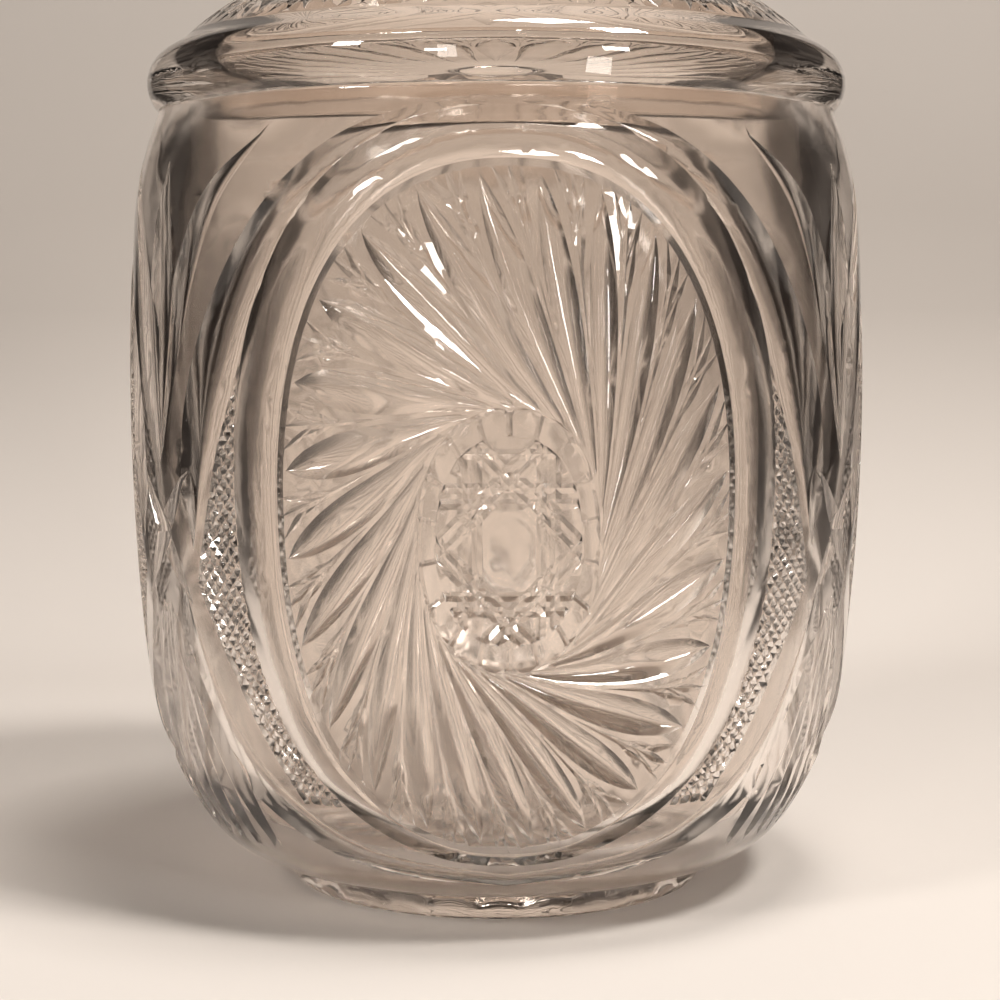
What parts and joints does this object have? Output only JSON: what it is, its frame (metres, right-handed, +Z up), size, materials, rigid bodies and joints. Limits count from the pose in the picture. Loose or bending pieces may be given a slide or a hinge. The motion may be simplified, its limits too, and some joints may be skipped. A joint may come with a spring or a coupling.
{
  "type": "biscuit jar",
  "caption": "Pressed-glass biscuit jar: straight-sided footed jar with tall oval medallions of swirled mitre cuts, and a loose domed lid with a faceted knob.",
  "frame": {"origin": "centre of the foot ring's standing face", "axes": "+Z up along the jar's axis, -Y through the middle of one medallion"},
  "size_m": [0.1526, 0.1525, 0.2161],
  "materials": {
    "pressed_glass": "fire-polished pressed glass, faintly warm",
    "lid_glass": "fire-polished pressed glass, faintly warm"
  },
  "bodies": {
    "jar": {"jar_body": "pressed_glass"},
    "lid": {"lid": "lid_glass"}
  },
  "joints": [
    {"name": "lid_lift", "type": "slide", "parent": "jar", "child": "lid", "axis": [0, 0, 1], "range_m": [0, 0.06]}
  ]
}
